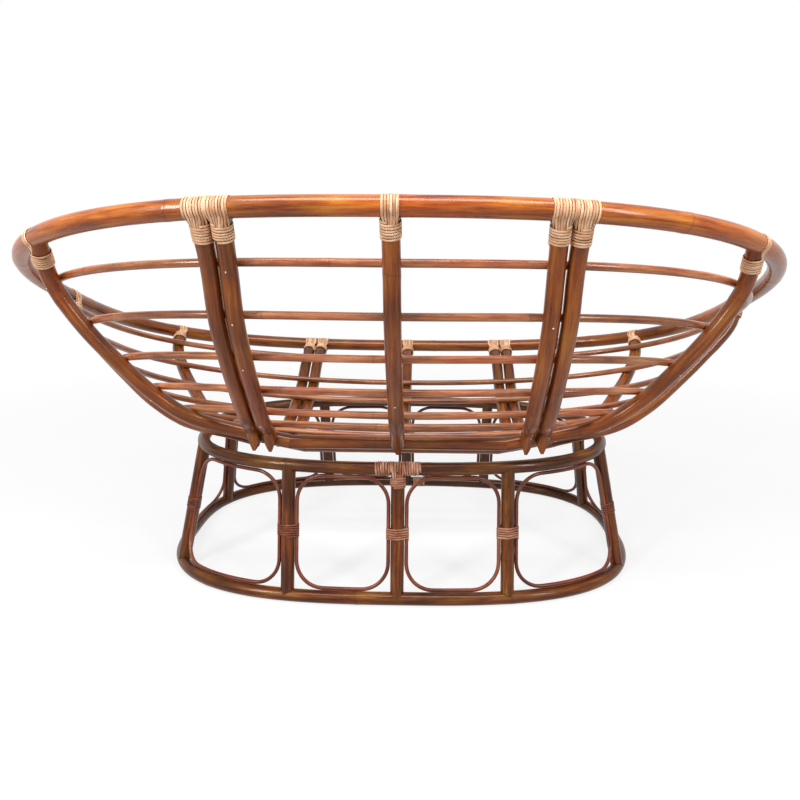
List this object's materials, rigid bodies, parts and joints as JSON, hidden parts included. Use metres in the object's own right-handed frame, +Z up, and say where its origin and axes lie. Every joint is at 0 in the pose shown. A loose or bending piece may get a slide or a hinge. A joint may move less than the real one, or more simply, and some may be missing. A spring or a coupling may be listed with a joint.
{
  "type": "double papasan chair frame",
  "caption": "Oval rattan bowl chair for two: a deep bowl of bent ribs and hoops that tilts on a low oval stand with cane loops.",
  "frame": {"origin": "on the floor, under the middle of the whole chair's box", "axes": "+Z up, -Y towards the front of the seat, +X towards the sitter's left"},
  "size_m": [1.6566, 1.0818, 0.8762],
  "materials": {
    "rim_pole": "glossy stained and varnished rattan pole, with orange highlights and darker nodes",
    "rib_pole": "glossy stained rattan pole, red-brown, mottled",
    "hoop_pole": "satin stained thin rattan pole, streaked",
    "stand_pole": "glossy dark stained rattan pole",
    "cane": "satin dark stained cane",
    "peel": "pale split rattan peel, stained on its skin side"
  },
  "bodies": {
    "stand": {"ring_bottom": "stand_pole", "ring_top": "stand_pole", "post_end_left_back": "stand_pole", "post_back_left": "stand_pole", "post_back_centre": "stand_pole", "post_back_right": "stand_pole", "post_end_right_back": "stand_pole", "post_end_right_front": "stand_pole", "post_front_right": "stand_pole", "post_front_centre": "stand_pole", "post_front_left": "stand_pole", "post_end_left_front": "stand_pole", "cane_loop_left_back": "cane", "cane_loop_back_left": "cane", "cane_loop_back_right": "cane", "cane_loop_right_back": "cane", "cane_loop_end_right": "cane", "cane_loop_right_front": "cane", "cane_loop_front_right": "cane", "cane_loop_front_left": "cane", "cane_loop_left_front": "cane", "cane_loop_end_left": "cane", "binding_stand_back": "peel"},
    "bowl": {"rim": "rim_pole", "hoop_1": "hoop_pole", "hoop_2": "hoop_pole", "hoop_3": "hoop_pole", "hoop_4": "hoop_pole", "hoop_5": "hoop_pole", "hoop_6": "hoop_pole", "rail_back": "rib_pole", "rail_front": "rib_pole", "rib_back_left_corner": "rib_pole", "rib_back_left_inner": "rib_pole", "rib_back_left_outer": "rib_pole", "rib_front_left_corner": "rib_pole", "rib_front_left_inner": "rib_pole", "rib_front_left_outer": "rib_pole", "rib_back_right_corner": "rib_pole", "rib_back_right_inner": "rib_pole", "rib_back_right_outer": "rib_pole", "rib_front_right_corner": "rib_pole", "rib_front_right_inner": "rib_pole", "rib_front_right_outer": "rib_pole", "rib_end_left": "rib_pole", "rib_end_right": "rib_pole", "rib_back_centre": "rib_pole", "rib_front_centre": "rib_pole", "binding_back_left_corner": "peel", "binding_back_left_pair": "peel", "binding_front_left_corner": "peel", "binding_front_left_pair": "peel", "binding_back_right_corner": "peel", "binding_back_right_pair": "peel", "binding_front_right_corner": "peel", "binding_front_right_pair": "peel", "binding_end_left": "peel", "binding_end_right": "peel", "binding_back_centre": "peel", "binding_front_centre": "peel"}
  },
  "joints": [
    {"name": "bowl_tilt", "type": "hinge", "parent": "stand", "child": "bowl", "pos_m": [0, -0.04, 0.8948], "axis": [1, 0, 0], "range_deg": [-22, 0]}
  ]
}
